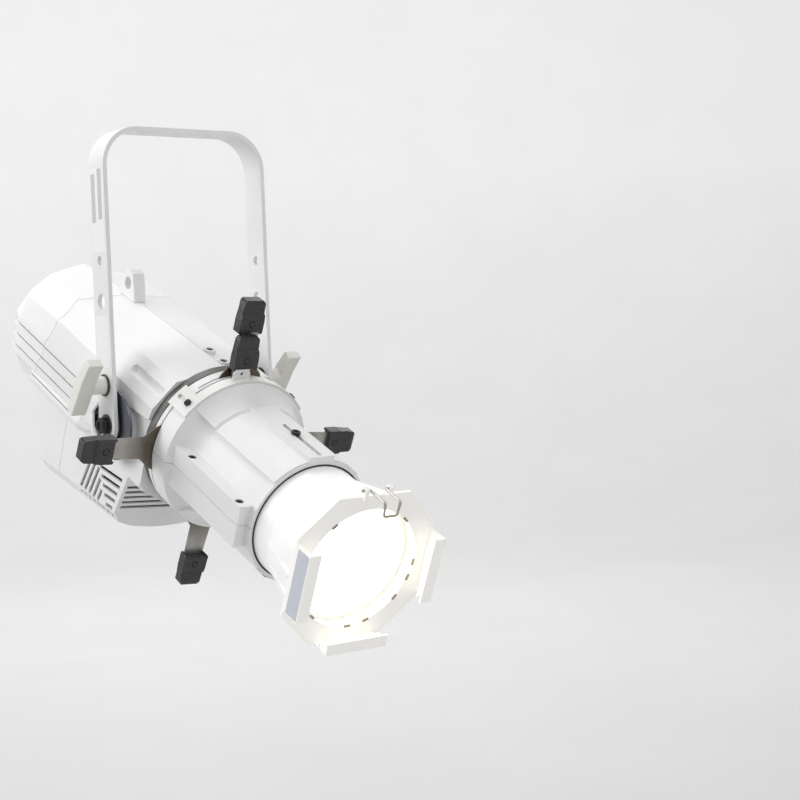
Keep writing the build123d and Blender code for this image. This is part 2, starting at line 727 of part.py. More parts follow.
def make_barrel():
    body = barrel_outer()
    for turn in (0, 180):
        body += around(prism(sector(60, 74.5, 0, 46), 143, BARREL_FRONT - 2), turn)
        # the neck is fuller between the ears, so a ridge runs from each ear to the panel
        body += around(neck_filler() & prism(sector(50, 100, 0, EAR_ANGLE - 0.7), 100, 160), turn)
        top = rib([(138, 60), (146, 78.6), (BARREL_FRONT, 78.6), (BARREL_FRONT, 60)], 16.0)
        body += around(top, turn)
    for side in (-1, 1):
        flange = block(60, SIDE_RIB_X, 100, 262, SIDE_RIB_BOTTOM, SIDE_RIB_TOP)
        body += on_side(flange, side)
    body -= cylinder(TUBE_BORE_R, 100, BARREL_FRONT + 1)
    body -= cylinder(GATE_R - 0.5, BARREL_REAR + 2.5, 106)
    body -= cylinder(62.0, BARREL_REAR - 1, 110)
    for cut in barrel_slots():
        body -= cut
    for rear, front, z_from, z_to in ((191, 267, 60, 90), (199, 269, -90, -60)):
        slot = block(-2.7, 2.7, rear, front, z_from, z_to)
        body -= slot
    for side in (-1, 1):
        for ahead in BARREL_SCREWS:
            head = pin_z(BARREL_SCREW_R, SIDE_RIB_TOP - 2.5, SIDE_RIB_TOP + 2, BARREL_SCREW_X, ahead)
            shank = pin_z(2.0, SIDE_RIB_BOTTOM + 4, SIDE_RIB_TOP, BARREL_SCREW_X, ahead)
            body -= on_side(head + shank, side)
    body -= cover_screw_holes()
    return body


def make_barrel_screws():
    screws = []
    for side in (-1, 1):
        for ahead in BARREL_SCREWS:
            screw = pin_z(BARREL_SCREW_R, SIDE_RIB_TOP - 2.5, SIDE_RIB_TOP - 0.6, BARREL_SCREW_X, ahead)
            screw += pin_z(2.0, SIDE_RIB_BOTTOM + 4, SIDE_RIB_TOP - 2, BARREL_SCREW_X, ahead)
            screw -= pin_z(1.6, SIDE_RIB_TOP - 1.6, SIDE_RIB_TOP + 1, BARREL_SCREW_X, ahead)
            screws.append(on_side(screw, side))
    return group(screws)


COVER_SCREW_AHEAD = 100.0


def radial_pin(radius, near, far, angle, ahead):
    return around(pin_z(radius, near, far, 0, ahead), angle)


def cover_screw_holes():
    holes = [radial_pin(2.0, 84, 96, angle, COVER_SCREW_AHEAD) for angle in (-EAR_ANGLE, EAR_ANGLE)]
    return holes[0] + holes[1]


def make_cover_screws():
    screws = []
    outer = BARREL_BIG_R + 0.3 + COVER_RISE
    for angle in (-EAR_ANGLE, EAR_ANGLE):
        screw = radial_pin(2.0, 89.0, outer + 0.5, angle, COVER_SCREW_AHEAD)
        screw += radial_pin(4.2, outer + 0.2, outer + 2.6, angle, COVER_SCREW_AHEAD)
        screw -= radial_pin(1.6, outer + 1.4, outer + 4, angle, COVER_SCREW_AHEAD)
        screws.append(screw)
    return group(screws)


def make_slot_cover():
    inner = BARREL_BIG_R + 0.3
    outer = inner + COVER_RISE
    band = prism(sector(inner, outer, 0, 53), 97.5, 112)
    for angle in (-EAR_ANGLE, EAR_ANGLE):
        band += prism(sector(inner, outer, angle, 8.5), 72, 112)
    for angle in (-EAR_ANGLE, EAR_ANGLE):
        slot = block(-2.3, 2.3, 79.5, COVER_SCREW_AHEAD, 80, 110)
        slot += pin_z(2.3, 80, 110, 0, COVER_SCREW_AHEAD) + pin_z(2.3, 80, 110, 0, 79.5)
        band -= around(slot, angle)
    # upright tab with cut corners on the front edge, a little to the left of the middle
    outline = [(-19, 80), (3, 80), (3, 101.5), (0, 105.5), (-16, 105.5), (-19, 101.5)]
    tab = prism(face(outline), 103.2, 104.4) - cylinder(inner + 0.5, 103, 105)
    return band + tab - cylinder(2.0, 102, 106, -8, 100.5)


def make_bearing_ring():
    bearing = ring(88.0, 63.0, FLANGE_FRONT + 0.4, BARREL_REAR)
    bearing += ring(BEARING_R - RUN, 63.0, HOUSING_FRONT - 2.0, FLANGE_FRONT + 1)
    return bearing + ring(73.0, 63.0, HOUSING_FRONT - 2.6, HOUSING_FRONT - 0.6)


def make_front_flange():
    return ring(FLANGE_R, BEARING_R, HOUSING_FRONT, FLANGE_FRONT)


def make_gate_plate(rear, front):
    return ring(GATE_R - 0.5, APERTURE_R, rear, front)


# ---------------------------------------------------------------- shutters and iris
BLADE_NECK = 107.0
BLADE_NECK_HALF = 13.8
BLADE_END_HALF = 11.8
POCKET_DEPTH = 17.0         # from the rivet to the mouth of a grip


def blade_outline():
    """Flat blade of a shutter pulled right out, made at the top: local x, z."""
    inner = RIVET_REACH - 108.0
    return [
        (-40, inner), (40, inner), (40, 72), (29, 84), (26, 92), (BLADE_NECK_HALF, BLADE_NECK),
        (BLADE_END_HALF, RIVET_REACH + 4), (-BLADE_END_HALF, RIVET_REACH + 4),
        (-BLADE_NECK_HALF, BLADE_NECK), (-26, 92), (-29, 84), (-40, 72),
    ]


def make_blade(angle, plane):
    blade = prism(face(blade_outline()), plane - BLADE_THICK / 2, plane + BLADE_THICK / 2)
    blade -= cylinder(2.5, plane - 2, plane + 2, 0, RIVET_REACH)
    return around(blade, angle)


def make_handle(angle, plane, reach, rear, front, grip, crank):
    """Moulded grip that sleeves over the end of a blade and runs out past it by grip."""
    inner = reach - 9.5
    outer = reach + grip
    half = HANDLE_WIDTH / 2
    # small horns at the inner corners, and a slight taper towards the tip
    side = [(-half + 3.4, inner), (-half + 2.0, inner - 3), (-half - 0.4, inner - 1.5)]
    side += [(-half - 0.4, inner + 14), (-half + 1.8, outer - 3), (-half + 4.2, outer)]
    outline = side + [(-x, z) for x, z in reversed(side)]
    # stepped side view: a low band across the middle, cranked to the rear at the tip
    profile = [(rear, inner - 4), (front - 1.5, inner - 4), (front, inner), (front, reach + 10.5)]
    profile += [(front - 2.5, reach + 12.5), (front - 1.0, outer - 4), (front - 2.2, outer)]
    profile += [(rear - crank, outer), (rear, inner + 28)]
    grip_solid = prism(fillet(face(outline).vertices(), 0.8), rear - 5, front + 10)
    grip_solid &= side_prism(profile, -40, 40)
    pocket = face(blade_end(reach))
    grip_solid -= prism(pocket, plane - BLADE_THICK / 2, plane + BLADE_THICK / 2)
    grip_solid -= cylinder(2.5, rear - 5, front + 10, 0, reach)
    grip_solid -= cylinder(4.2, front - 2.0, front + 10, 0, reach)
    rivet = cylinder(2.5, rear, front - 1.5, 0, reach) + cylinder(3.6, front - 2.0, front - 0.1, 0, reach)
    return [around(grip_solid, angle), around(rivet, angle)]


def blade_end(reach):
    """Outline of the blade end inside its grip, with the same taper as the blade."""
    taper = (BLADE_NECK_HALF - BLADE_END_HALF) / (RIVET_REACH + 4 - BLADE_NECK)
    wide = BLADE_END_HALF + taper * (POCKET_DEPTH + 4)
    mouth = reach - POCKET_DEPTH
    return [(-wide, mouth), (wide, mouth), (BLADE_END_HALF, reach + 4), (-BLADE_END_HALF, reach + 4)]


IRIS_REACH = 114.5
IRIS_PLATE_R = GATE_R - 0.5


def make_iris_plate():
    plate = ring(IRIS_PLATE_R, 56.0, IRIS_PLANE - 2.2, IRIS_PLANE - 0.8)
    plate += ring(IRIS_PLATE_R, 80.0, IRIS_PLANE - 0.8, IRIS_PLANE + 0.6)
    return plate - prism(sector(70, 95, 0, 42), IRIS_PLANE - 0.8, IRIS_PLANE + 2)


def make_iris_lever():
    lever = ring(78.0, 56.0, IRIS_PLANE - 0.5, IRIS_PLANE + 0.5)
    end_half = BLADE_END_HALF - 0.3
    arm = [(-10, 70), (10, 70), (end_half, IRIS_REACH - 18), (end_half, IRIS_REACH + 4)]
    arm += [(-end_half, IRIS_REACH + 4), (-end_half, IRIS_REACH - 18)]
    lever += prism(face(arm), IRIS_PLANE - 0.5, IRIS_PLANE + 0.5)
    lever -= cylinder(2.5, IRIS_PLANE - 2, IRIS_PLANE + 2, 0, IRIS_REACH)
    return around(lever, -1.5)


# ---------------------------------------------------------------- lens tube
def make_lens_tube():
    bore = TUBE_R - TUBE_WALL
    points = [
        (TUBE_R, TUBE_REAR), (TUBE_R, 298), (72, 316), (78, 340), (80, HOLDER_REAR),
        (FRONT_BORE_R, HOLDER_REAR), (FRONT_BORE_R, 338), (bore, 312), (bore, TUBE_REAR),
    ]
    tube = turned(points)
    gusset_side = [(296, 66), (300, 68.5), (HOLDER_REAR, 86), (HOLDER_REAR, 75.5), (338, 74.5), (312, 68)]
    gusset = side_prism(gusset_side, -1.5, 1.5)
    for angle in (-108, -90, -72, -18, 18, 72, 90, 108, 162, 180, 198):
        tube += around(gusset, angle)
    tube -= pin_z(2.4, 60, 75, 0, GUIDE_AHEAD)
    tube -= pin_z(KNOB_SHANK_R + RUN, -75, -60, 0, KNOB_AHEAD)
    return tube


def plano_convex(radius, rear, bulge, edge):
    """Lens with a flat rear face and a curved front face."""
    lines = Line((0, -rear), (radius, -rear))
    lines += Line((radius, -rear), (radius, -(rear + edge)))
    sphere = (radius ** 2 + bulge ** 2) / (2 * bulge)
    half = radius / 2
    middle = (half, -(rear + edge + bulge - sphere + (sphere ** 2 - half ** 2) ** 0.5))
    lines += ThreePointArc((radius, -(rear + edge)), middle, (0, -(rear + edge + bulge)))
    lines += Line((0, -(rear + edge + bulge)), (0, -rear))
    return revolve(make_face(lines), Axis.Y, 360)


def make_lens_retainers():
    rings = []
    for lens_rear, bore in ((FRONT_LENS_REAR, FRONT_BORE_R), (REAR_LENS_REAR, TUBE_R - TUBE_WALL)):
        rings.append(ring(bore, bore - 4.5, lens_rear - 3.0, lens_rear))
        rings.append(ring(bore, bore - 4.5, lens_rear + LENS_EDGE + 2.5, lens_rear + LENS_EDGE + 5.0))
    return group(rings)


def make_gel_holder():
    corner = 45.0
    outline = [(corner, HOLDER_HALF), (HOLDER_HALF, corner), (HOLDER_HALF, -corner), (corner, -HOLDER_HALF)]
    points = outline + [(-x, z) for x, z in reversed(outline)]
    holder = prism(fillet(face(points).vertices(), 3.0), HOLDER_REAR, HOLDER_REAR + 4)
    holder -= cylinder(FRONT_BORE_R - 2.0, HOLDER_REAR - 1, HOLDER_REAR + 6)
    long = CHANNEL_HALF_LENGTH
    bottom = FRAME_HALF + 3.2
    for turn in (90, 180, 270):
        channel = block(-long, long, HOLDER_REAR + 3, HOLDER_FRONT, bottom, HOLDER_HALF)
        channel += block(-long, long, HOLDER_FRONT - 2.4, HOLDER_FRONT, 71.0, bottom + 1.4)
        channel += block(-long, long, 382.0, 384.0, FRAME_HALF - 2.4, bottom + 1.4)
        holder += around(channel, turn)
    # hinge ears of the wire clip on the top edge
    for x in (-17.0, 13.0):
        ear = side_prism([(HOLDER_REAR, 82), (HOLDER_REAR, 94), (372, 96.5), (376, 94), (376, 82)], x, x + 4)
        ear -= pin_x(1.5 + RUN, x - 1, x + 5, HOLDER_REAR + 4, 92)
        holder += ear
    return holder


def make_gel_clip():
    """Wire bail that closes the open top of the frame slots."""
    hinge_ahead = HOLDER_REAR + 4
    points = [(19.5, hinge_ahead, 92), (9.5, hinge_ahead, 92), (9.5, 399.5, 91), (8, 399.8, 76)]
    points += [(-x, ahead, z) for x, ahead, z in reversed(points)]
    path = FilletPolyline(*[(x, -ahead, z) for x, ahead, z in points], radius=2.5)
    profile = Plane(origin=path @ 0, z_dir=path % 0) * Circle(1.5)
    return sweep(profile, path)


def make_guide_screw():
    screw = pin_z(2.4, 65.0, 79.0, 0, GUIDE_AHEAD) + pin_z(5.2, 78.8, 82.2, 0, GUIDE_AHEAD)
    return screw - pin_z(2.0, 80.6, 83, 0, GUIDE_AHEAD)


def make_focus_knob():
    knob = pin_z(KNOB_SHANK_R, -80.0, -65.0, 0, KNOB_AHEAD) + pin_z(9.0, -93.0, -79.2, 0, KNOB_AHEAD)
    for index in range(10):
        angle = radians(36 * index)
        knob -= pin_z(1.2, -95.0, -81.5, 9.3 * cos(angle), KNOB_AHEAD + 9.3 * sin(angle))
    return knob


# ---------------------------------------------------------------- build everything
def main():
    os.makedirs("parts", exist_ok=True)

    save("yoke", make_yoke())
    save("arm_washers", make_arm_washers())
    save("friction_pads", make_friction_pads())
    save_lamp("pivot_bolts", make_pivot_bolts())
    lever = make_lock_lever()
    save("tilt_lock_right", lever)
    save("tilt_lock_left", mirror(lever, Plane.YZ))

    housing = make_housing()
    envelope = housing_solid(-0.15) + side_fairing(1) + side_fairing(-1)
    front_part = housing - behind_joint(0.0)
    save_lamp("housing_right_shell", half_of(front_part, 1))
    save_lamp("housing_left_shell", half_of(front_part, -1))
    save_lamp("rear_cover", make_rear_cover(housing))
    save_lamp("front_flange", make_front_flange())
    discs = []
    for side in (-1, 1):
        disc = pin_x(DISC_R, DISC_FACE - DISC_THICK, DISC_FACE, 0, PIVOT_Z)
        disc -= pin_x(PIVOT_BOLT_R, 80, 120, 0, PIVOT_Z)
        discs.append(on_side(disc, side))
    save_lamp("tilt_discs", group(discs))
    save_lamp("safety_lug", make_safety_lug(envelope))
    save_lamp("housing_screws", make_housing_screws())

    belly = make_belly(envelope)
    for cut in panel_cuts():
        belly -= cut
    save_lamp("electronics_front_cover", belly & block(-120, 120, BELLY_SPLIT + SEAM, 50, -250, 0))
    save_lamp("electronics_rear_cover", belly & block(-120, 120, -300, BELLY_SPLIT - SEAM, -250, 0))
    save_lamp("power_connectors", group([make_connector(x, 5.0) for x in CONNECTOR_X[:2]]))
    save_lamp("data_connectors", group([make_connector(x, 3.0) for x in CONNECTOR_X[2:]]))
    save_lamp("control_panel", make_control_panel())
    window = on_panel(Pos(DISPLAY_X, CONTROL_Y) * Rectangle(*DISPLAY_SIZE), 0.8, 2.6)
    save_lamp("display_window", window)
    for name, x, y in BUTTONS:
        save_lamp(name, make_button(x, y))
    save_lamp("driver_board", make_driver_board())
    save_lamp("power_supply", make_power_supply())

    save_lamp("heat_sink", make_heat_sink())
    save_lamp("led_board", make_led_board())
    save_lamp("led_emitters", make_led_emitters())
    save_lamp("light_mixer", make_light_mixer())
    save_lamp("condenser_lens", make_condenser_lens())
    save_lamp("lens_cell", make_lens_cell())
    save_lamp("fan_frame", make_fan_frame())
    save_lamp("fan_rotor", make_fan_rotor())

    barrel = make_barrel()
    save_lamp("barrel_upper_shell", barrel & block(-130, 130, 50, 300, BARREL_SEAM, 130))
    save_lamp("barrel_lower_shell", barrel & block(-130, 130, 50, 300, -130, -BARREL_SEAM))
    save_lamp("bearing_ring", make_bearing_ring())
    save_lamp("gate_rear_plate", make_gate_plate(BARREL_REAR + 2.5, BARREL_REAR + 3.3))
    save_lamp("gate_front_plate", make_gate_plate(88.4, 89.2))
    save_lamp("barrel_screws", make_barrel_screws())
    save_lamp("slot_cover", make_slot_cover())
    save_lamp("slot_cover_screws", make_cover_screws())

    for name, angle, plane in SHUTTERS:
        save_lamp("shutter_blade_" + name, make_blade(angle, plane))
        handle = make_handle(angle, plane, RIVET_REACH, HANDLE_REAR, HANDLE_FRONT, 28.0, 1.5)
        save_lamp("shutter_handle_" + name, group(handle))
    save_lamp("iris_plate", make_iris_plate())
    save_lamp("iris_lever", make_iris_lever())
    handle = make_handle(-1.5, IRIS_PLANE, IRIS_REACH, HANDLE_FRONT + 1.2, HANDLE_FRONT + 12.0, 28.5, 0.0)
    save_lamp("iris_handle", group(handle))

    save_lamp("lens_tube", make_lens_tube())
    save_lamp("front_lens", plano_convex(FRONT_BORE_R, FRONT_LENS_REAR, 19.0, LENS_EDGE))
    save_lamp("rear_lens", plano_convex(TUBE_R - TUBE_WALL, REAR_LENS_REAR, 17.0, LENS_EDGE))
    save_lamp("lens_retainers", make_lens_retainers())
    save_lamp("gel_holder", make_gel_holder())
    save_lamp("gel_clip", make_gel_clip())
    save_lamp("focus_guide_screw", make_guide_screw())
    save_lamp("focus_knob", make_focus_knob())


main()
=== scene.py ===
import json
from math import cos, radians, sin

import bmesh
import bpy
from mathutils import Matrix, Vector


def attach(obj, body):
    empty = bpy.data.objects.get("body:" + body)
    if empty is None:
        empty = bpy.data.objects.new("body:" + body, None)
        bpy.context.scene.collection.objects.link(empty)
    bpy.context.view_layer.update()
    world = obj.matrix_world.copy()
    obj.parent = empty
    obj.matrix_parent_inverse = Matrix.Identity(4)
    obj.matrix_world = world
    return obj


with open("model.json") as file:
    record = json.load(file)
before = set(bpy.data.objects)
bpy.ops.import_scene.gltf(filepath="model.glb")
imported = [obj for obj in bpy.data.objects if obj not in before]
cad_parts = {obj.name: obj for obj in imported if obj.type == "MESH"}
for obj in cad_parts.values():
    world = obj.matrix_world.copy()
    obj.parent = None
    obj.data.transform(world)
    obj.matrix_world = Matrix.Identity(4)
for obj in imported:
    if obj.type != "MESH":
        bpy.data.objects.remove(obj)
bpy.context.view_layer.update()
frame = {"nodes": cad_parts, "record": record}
NODES = frame["nodes"]

# ---------------------------------------------------------------- shared sizes, in metres
PIVOT = Vector((0.0, 0.0, -0.344))      # tilt pivot in the row frame
TILT = radians(24.3)                    # nose down at rest
AXIS_RISE = 0.0065                      # optical axis above the pivot
ARM_OUTER = 0.108                       # outer face of a yoke arm
MM = 0.001

# ---------------------------------------------------------------- shared sizes, in millimetres
SHUTTER_AHEAD = 84.0                    # shutter gate, ahead of the pivot
SHUTTER_REACH = 154.0                   # middle of a shutter handle, from the optical axis
SHUTTER_FACE = 90.0                     # front of a shutter handle, ahead of the pivot
IRIS_REACH = 114.5                      # the same for the iris handle
IRIS_FACE = 102.0
LENS_AHEAD = 366.0                      # front lens, ahead of the pivot

FORWARD = Vector((0.0, -cos(TILT), -sin(TILT)))
UP = Vector((0.0, -sin(TILT), cos(TILT)))
RIGHT = Vector((1.0, 0.0, 0.0))


def lamp_point(x, n, d):
    """Row-frame point from millimetres right of, above and ahead along the optical axis."""
    return PIVOT + RIGHT * x * MM + UP * (n * MM + AXIS_RISE) + FORWARD * d * MM


# ---------------------------------------------------------------- node materials
class Shader:
    """A principled material with small helpers to wire textures into it."""

    def __init__(self, name, color, rough, metallic=0.0):
        self.mat = bpy.data.materials.new(name)
        self.mat.use_nodes = True
        self.nodes = self.mat.node_tree.nodes
        self.links = self.mat.node_tree.links
        self.bsdf = self.nodes["Principled BSDF"]
        self.bsdf.inputs["Base Color"].default_value = (*color, 1.0)
        self.bsdf.inputs["Roughness"].default_value = rough
        self.bsdf.inputs["Metallic"].default_value = metallic
        self.coords = self.nodes.new("ShaderNodeTexCoord")
        self.height = None

    def place(self, scale):
        mapping = self.nodes.new("ShaderNodeMapping")
        mapping.inputs["Scale"].default_value = scale
        self.links.new(self.coords.outputs["Object"], mapping.inputs["Vector"])
        return mapping.outputs["Vector"]

    def noise(self, scale, detail=3.0, rough=0.55, vector=None):
        tex = self.nodes.new("ShaderNodeTexNoise")
        tex.inputs["Scale"].default_value = scale
        tex.inputs["Detail"].default_value = detail
        tex.inputs["Roughness"].default_value = rough
        self.links.new(vector or self.coords.outputs["Object"], tex.inputs["Vector"])
        return tex.outputs["Fac"]

    def remap(self, value, low, high, from_low=0.3, from_high=0.7):
        node = self.nodes.new("ShaderNodeMapRange")
        node.inputs["From Min"].default_value = from_low
        node.inputs["From Max"].default_value = from_high
        node.inputs["To Min"].default_value = low
        node.inputs["To Max"].default_value = high
        self.links.new(value, node.inputs["Value"])
        return node.outputs["Result"]

    def blend(self, factor, first, second):
        node = self.nodes.new("ShaderNodeMix")
        node.data_type = "RGBA"
        self.links.new(factor, node.inputs["Factor"])
        # sockets 6, 7 and 2 are the mix node's colours
        for index, value in ((6, first), (7, second)):
            if isinstance(value, tuple):
                node.inputs[index].default_value = (*value, 1.0)
            else:
                self.links.new(value, node.inputs[index])
        return node.outputs[2]

    def color(self, output):
        self.links.new(output, self.bsdf.inputs["Base Color"])

    def rough(self, output):
        self.links.new(output, self.bsdf.inputs["Roughness"])

    def bump(self, output, distance, strength=1.0):
        node = self.nodes.new("ShaderNodeBump")
        node.inputs["Distance"].default_value = distance
        node.inputs["Strength"].default_value = strength
        self.links.new(output, node.inputs["Height"])
        if self.height is not None:
            self.links.new(self.height, node.inputs["Normal"])
        self.height = node.outputs["Normal"]
        self.links.new(self.height, self.bsdf.inputs["Normal"])


def powder_coat(name, color, rough=0.42, grain=0.00006, soil=0.05):
    """Sprayed paint over metal: orange peel, slight mottling and duller patches."""
    shader = Shader(name, color, rough)
    dull = tuple(c * (1 - soil) for c in color)
    shader.color(shader.blend(shader.remap(shader.noise(11.0, 5.0), 0, 1), dull, color))
    shader.rough(shader.remap(shader.noise(60.0, 4.0), rough - 0.06, rough + 0.10))
    shader.bump(shader.noise(900.0, 2.0), grain, 0.6)
    shader.bump(shader.noise(220.0, 1.0), grain * 2.2, 0.35)
    return shader.mat


def moulded(name, color, rough=0.5, grain=0.00005, soil=0.08):
    """Moulded plastic with a spark-eroded texture."""
    shader = Shader(name, color, rough)
    worn = tuple(min(1.0, c * (1 + soil)) for c in color)
    shader.color(shader.blend(shader.remap(shader.noise(35.0, 6.0, 0.65), 0, 1), color, worn))
    shader.rough(shader.remap(shader.noise(120.0, 4.0), rough - 0.08, rough + 0.10))
    shader.bump(shader.noise(1500.0, 2.0, 0.7), grain, 0.8)
    return shader.mat


def brushed(name, color, rough=0.34, stretch=(1.0, 1.0, 40.0), grain=0.00002):
    """Rolled sheet metal with fine scratches along one direction."""
    shader = Shader(name, color, rough, 1.0)
    lines = shader.noise(60.0, 6.0, 0.7, shader.place(stretch))
    dark = tuple(c * 0.80 for c in color)
    shader.color(shader.blend(shader.remap(shader.noise(25.0, 5.0), 0, 1), dark, color))
    shader.rough(shader.remap(lines, rough - 0.12, rough + 0.16))
    shader.bump(lines, grain, 0.8)
    return shader.mat


def steel_with_gate_shade(name, bare_steel, gate_shade_brown):
    """Stainless sheet with stain mottling, turning to a painted brown shade towards the shutter
    gate, where the blades come out of the barrel.
    """
    shader = Shader(name, bare_steel, 0.38, 1.0)
    reach = shader.nodes.new("ShaderNodeVectorMath")
    reach.operation = "DISTANCE"
    reach.inputs[1].default_value = lamp_point(0.0, 0.0, SHUTTER_AHEAD)
    shader.links.new(shader.coords.outputs["Object"], reach.inputs[0])
    stains = shader.remap(shader.noise(70.0, 5.0, 0.7), 0, 1)
    stain_and_gate_shade = shader.blend(stains, gate_shade_brown, tuple(1.5 * c for c in gate_shade_brown))
    smudges = shader.remap(shader.noise(45.0, 6.0, 0.7), 0, 1)
    bright = shader.blend(smudges, tuple(0.72 * c for c in bare_steel), bare_steel)
    # painted shade: dark brown up to 100 mm from the shutter gate, fading to bare steel by 132 mm
    gate_shade_mask = shader.remap(reach.outputs["Value"], 0.0, 1.0, 0.100, 0.132)
    shader.color(shader.blend(gate_shade_mask, stain_and_gate_shade, bright))
    lines = shader.noise(60.0, 6.0, 0.7, shader.place((1.0, 1.0, 40.0)))
    shader.rough(shader.remap(lines, 0.26, 0.52))
    shader.bump(lines, 0.00002, 0.8)
    return shader.mat


def clear_glass(name, tint):
    """Clear glass with a faint smear on it."""
    shader = Shader(name, tint, 0.02)
    shader.bsdf.inputs["Transmission Weight"].default_value = 0.95
    shader.bsdf.inputs["IOR"].default_value = 1.5
    smear = shader.noise(40.0, 6.0, 0.7)
    shader.rough(shader.remap(smear, 0.01, 0.09))
    return shader.mat


MATERIALS = {
    "white_paint": powder_coat("white_paint", (0.83, 0.83, 0.828)),
    "white_casting": powder_coat("white_casting", (0.82, 0.822, 0.818), 0.48, 0.0001, 0.03),
    "white_plastic": moulded("white_plastic", (0.82, 0.822, 0.818), 0.46, 0.00005, 0.03),
    "black_plastic": moulded("black_plastic", (0.032, 0.032, 0.034), 0.24, 0.000003, 0.12),
    "beige_plastic": moulded("beige_plastic", (0.80, 0.79, 0.74), 0.40, 0.00002, 0.04),
    # grey metal: its own dark grey, made darker still as painted shade of the gap between housing
    # and barrel
    "grey_metal": powder_coat("grey_metal", (0.095, 0.095, 0.088), 0.38),
    "bright_steel": brushed("bright_steel", (0.56, 0.53, 0.50)),
    # shutter blades: bare steel, with painted brown shade near the shutter gate
    "blade_steel": steel_with_gate_shade("blade_steel", (0.52, 0.50, 0.47), (0.13, 0.11, 0.09)),
    "black_aluminium": powder_coat("black_aluminium", (0.03, 0.03, 0.035), 0.5),
    "black_steel": brushed("black_steel", (0.05, 0.05, 0.055), 0.38),
    "raw_aluminium": brushed("raw_aluminium", (0.72, 0.73, 0.74)),
    "lens_glass": clear_glass("lens_glass", (0.96, 0.98, 0.98)),
    "led_yellow": moulded("led_yellow", (0.85, 0.62, 0.10), 0.3),
    "board_green": moulded("board_green", (0.03, 0.16, 0.07), 0.35),
    "display_glass": moulded("display_glass", (0.01, 0.012, 0.02), 0.1),
    "rubber_pad": moulded("rubber_pad", (0.02, 0.02, 0.02), 0.7),
}


def lit_glass():
    """Front lens full of light: white in the middle and warm towards its rim."""
    shader = Shader("lit_lens_glass", (1.0, 0.97, 0.90), 0.05)
    offset = shader.nodes.new("ShaderNodeVectorMath")
    offset.operation = "DISTANCE"
    offset.inputs[1].default_value = lamp_point(0.0, 0.0, LENS_AHEAD)
    shader.links.new(shader.coords.outputs["Object"], offset.inputs[0])
    reach = shader.remap(offset.outputs["Value"], 0.0, 1.0, 0.035, 0.074)
    glow = shader.blend(reach, (1.0, 0.985, 0.93), (1.0, 0.86, 0.52))
    shader.links.new(glow, shader.bsdf.inputs["Emission Color"])
    shader.bsdf.inputs["Emission Strength"].default_value = 2.6
    return shader.mat


def paint_with_painted_glow(name, color, spill, strength):
    """Paint next to the lens with a painted glow: emission stands in for the lens light it catches.
    """
    material = powder_coat(name, color, 0.40, 0.00006, 0.02)
    surface = material.node_tree.nodes["Principled BSDF"].inputs
    surface["Emission Color"].default_value = (*spill, 1.0)
    surface["Emission Strength"].default_value = strength
    return material


MATERIALS.update({
    "lit_lens_glass": lit_glass(),
    "label_white": moulded("label_white", (0.86, 0.86, 0.86), 0.35, 0.00001, 0.02),
    "label_grey": moulded("label_grey", (0.52, 0.53, 0.56), 0.4, 0.00001, 0.06),
    "sticker_blue": moulded("sticker_blue", (0.62, 0.64, 0.71), 0.4, 0.00001, 0.03),
    "rivet_black": powder_coat("rivet_black", (0.03, 0.03, 0.032), 0.16, 0.00002),
    # near-black sheet for the painted shade in the barrel joint
    "joint_shade_black": moulded("joint_shade_black", (0.03, 0.03, 0.03), 0.9, 0.0001, 0.2),
    "clip_bronze": brushed("clip_bronze", (0.42, 0.38, 0.32), 0.4),
    "disc_steel": brushed("disc_steel", (0.20, 0.22, 0.25), 0.38),
    "cover_zinc": powder_coat("cover_zinc", (0.77, 0.775, 0.755), 0.36),
    # gel holder and lens tube: whiter, lit copies of the white paint with a painted glow, standing
    # in for lens and studio light falling on them
    "holder_white_painted_glow": paint_with_painted_glow("holder_white_painted_glow", (0.92, 0.915, 0.895), (1.0, 0.96, 0.88), 0.18),
    "tube_white_painted_glow": paint_with_painted_glow("tube_white_painted_glow", (0.92, 0.92, 0.915), (1.0, 0.99, 0.97), 0.09),
})
# pieces that look different from the rest of their CAD material slot
OWN_LOOK = {
    "tilt_discs": "disc_steel",
    "slot_cover": "cover_zinc",
    "lens_tube": "tube_white_painted_glow",
    "gel_holder": "holder_white_painted_glow",
}

slots = {part["node"]: part["material_slot"] for part in frame["record"]["subparts"]}
for name, obj in NODES.items():
    obj.data.materials.clear()
    obj.data.materials.append(MATERIALS[OWN_LOOK.get(name, slots[name])])


# ---------------------------------------------------------------- edges of the CAD pieces
def sharp_edge_group(limit):
    """Geometry nodes that smooth only the edges flatter than limit, in radians."""
    group = bpy.data.node_groups.new("smooth_flat_edges", "GeometryNodeTree")
    group.interface.new_socket("Geometry", in_out="INPUT", socket_type="NodeSocketGeometry")
    group.interface.new_socket("Geometry", in_out="OUTPUT", socket_type="NodeSocketGeometry")
    enter = group.nodes.new("NodeGroupInput")
    leave = group.nodes.new("NodeGroupOutput")
    angle = group.nodes.new("GeometryNodeInputMeshEdgeAngle")
    test = group.nodes.new("FunctionNodeCompare")
    test.data_type = "FLOAT"
    test.operation = "LESS_THAN"
    test.inputs[1].default_value = limit
    smooth = group.nodes.new("GeometryNodeSetShadeSmooth")
    smooth.domain = "EDGE"
    group.links.new(angle.outputs["Unsigned Angle"], test.inputs[0])
    group.links.new(enter.outputs[0], smooth.inputs["Geometry"])
    group.links.new(test.outputs["Result"], smooth.inputs["Shade Smooth"])
    group.links.new(smooth.outputs[0], leave.inputs[0])
    return group


def shade_smooth(mesh):
    for polygon in mesh.polygons:
        polygon.use_smooth = True


WELD_GAP = 0.00001              # metres between points that are one point
FLAT_ANGLE = radians(0.3)       # faces this close to one plane become one face
SMOOTH_ANGLE = radians(24)      # flatter edges are shaded smooth
BEVEL_ANGLE = radians(38)       # sharper edges get a bevel
USUAL_BEVEL = 0.6
